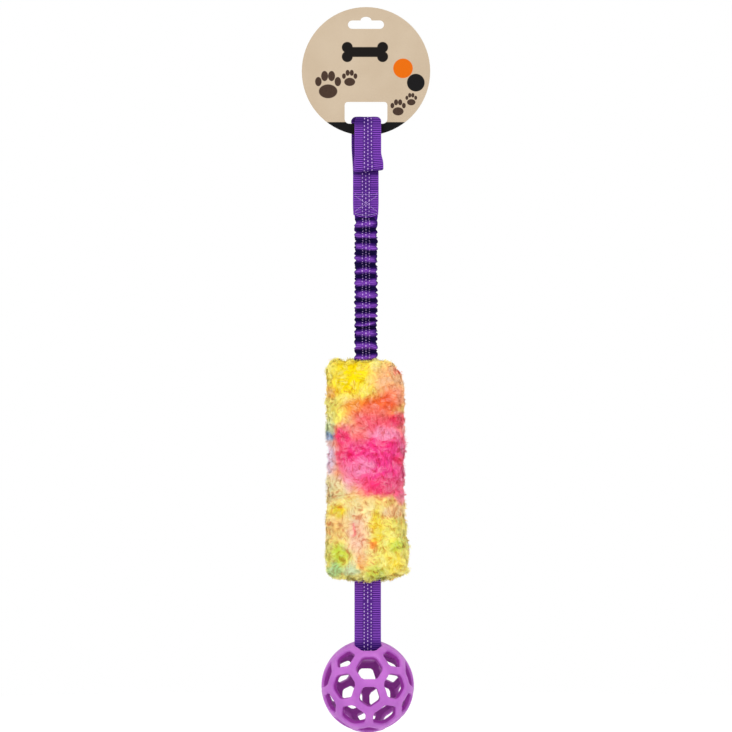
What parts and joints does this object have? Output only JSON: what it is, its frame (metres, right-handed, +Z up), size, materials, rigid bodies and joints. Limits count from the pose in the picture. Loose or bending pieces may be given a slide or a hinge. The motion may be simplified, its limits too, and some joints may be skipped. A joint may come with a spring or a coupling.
{
  "type": "dog tug toy",
  "caption": "Tug toy hanging on a round header card: webbing handle, gathered bungee, padded tie-dye fur sleeve, webbing strap and an open lattice rubber ball.",
  "frame": {"origin": "top middle of the card's hang slot, in the middle of the card's thickness", "axes": "+Z up as the toy hangs, +Y away from the viewer, square to the card, +X to the viewer's right along the card's bar"},
  "size_m": [0.122, 0.0876, 0.6881],
  "materials": {
    "kraft_card": "matte kraft card stock",
    "webbing": "woven nylon",
    "gathered_webbing": "woven nylon, gathered",
    "elastic": "matte",
    "fur": "long pile, tie-dyed",
    "wadding": "soft wadding",
    "moulded_rubber": "matte moulded"
  },
  "bodies": {
    "card": {"header_card": "kraft_card"},
    "handle": {"handle_strap_front": "webbing", "handle_strap_back": "webbing", "bungee_tab": "gathered_webbing"},
    "grip": {"grip_loop": "webbing"},
    "bungee": {"elastic_core": "elastic", "bungee_cover_front": "gathered_webbing", "bungee_cover_back": "gathered_webbing"},
    "tail": {"bungee_tail": "elastic"},
    "sleeve": {"fur_sleeve": "fur", "padding_front": "wadding", "padding_back": "wadding", "load_webbing_front": "webbing", "load_webbing_back": "webbing"},
    "strap": {"ball_strap_front": "webbing", "ball_strap_back": "webbing"},
    "ball": {"ball_loop": "webbing", "lattice_ball": "moulded_rubber"}
  },
  "joints": [
    {"name": "handle_swing", "type": "hinge", "parent": "card", "child": "handle", "pos_m": [0, 0, -0.1028], "axis": [1, 0, 0], "range_deg": [-12, 12]},
    {"name": "grip_lift", "type": "hinge", "parent": "handle", "child": "grip", "pos_m": [0, 0, -0.0948], "axis": [-1, 0, 0], "range_deg": [0, 120]},
    {"name": "bungee_swing", "type": "hinge", "parent": "handle", "child": "bungee", "pos_m": [0, 0, -0.1923], "axis": [1, 0, 0], "range_deg": [-60, 60]},
    {"name": "bungee_stretch", "type": "slide", "parent": "bungee", "child": "tail", "axis": [0, 0, -1], "range_m": [0, 0.07], "stiffness_N_per_m": 300, "springref_m": -0.02, "deforming": ["bungee_cover_front", "bungee_cover_back"]},
    {"name": "sleeve_swing", "type": "hinge", "parent": "tail", "child": "sleeve", "pos_m": [0, 0, -0.3313], "axis": [1, 0, 0], "range_deg": [-30, 30]},
    {"name": "strap_swing", "type": "hinge", "parent": "sleeve", "child": "strap", "pos_m": [0, 0, -0.5361], "axis": [1, 0, 0], "range_deg": [-60, 60]},
    {"name": "ball_swing", "type": "hinge", "parent": "strap", "child": "ball", "pos_m": [0, 0, -0.5739], "axis": [1, 0, 0], "range_deg": [-60, 60]}
  ]
}
